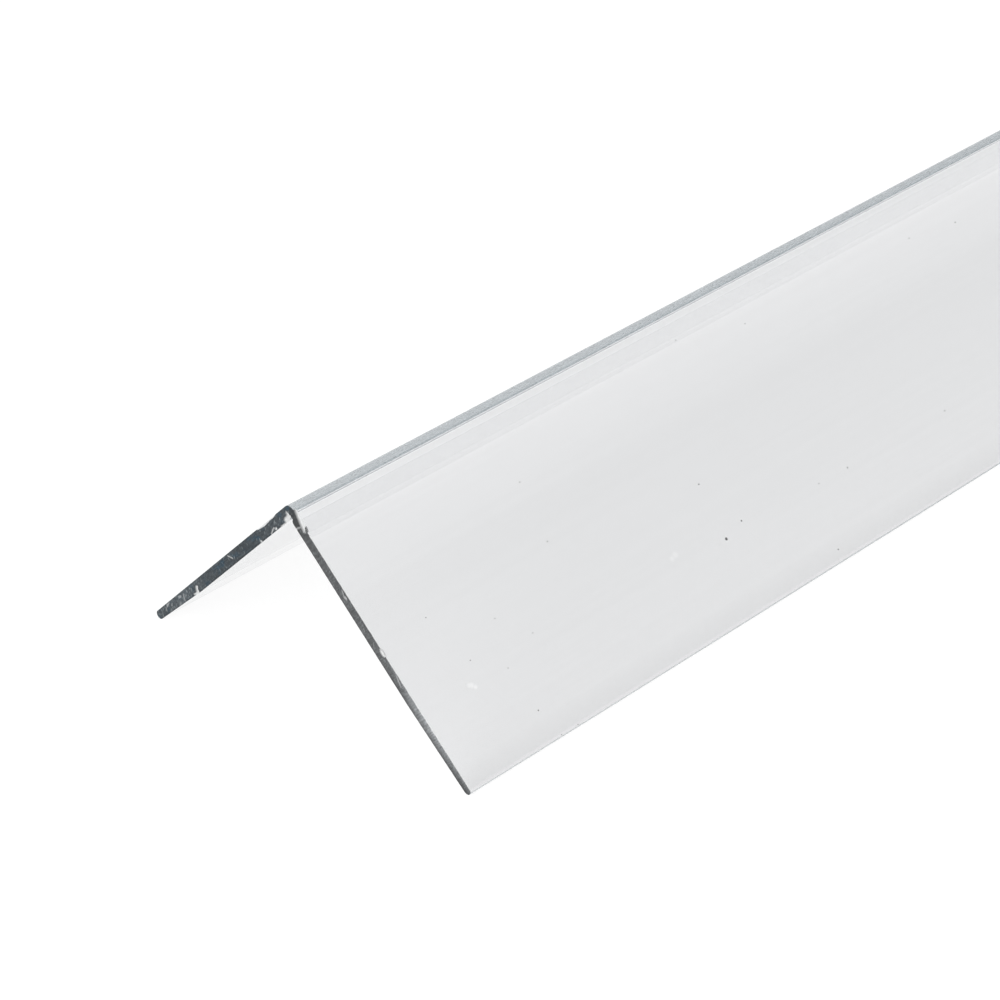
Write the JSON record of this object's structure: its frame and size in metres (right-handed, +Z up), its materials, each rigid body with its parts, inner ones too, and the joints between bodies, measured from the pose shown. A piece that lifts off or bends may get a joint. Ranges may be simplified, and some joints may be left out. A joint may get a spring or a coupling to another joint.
{
  "type": "corner guard moulding",
  "caption": "Clear plastic L-shaped corner guard with tapered wings, a rounded heel and a relief groove in the throat, fixed over an outside wall corner to protect it from knocks.",
  "frame": {"origin": "on the floor, midway along the moulding and straight under its corner", "axes": "+X along the moulding, +Y across it, +Z up from the two free edges to the corner"},
  "size_m": [1.2192, 0.04, 0.0204],
  "materials": {
    "clear_plastic": "clear, smooth extruded faces and rough-sawn grey ends"
  },
  "bodies": {
    "root": {"corner_guard": "clear_plastic"}
  },
  "joints": []
}
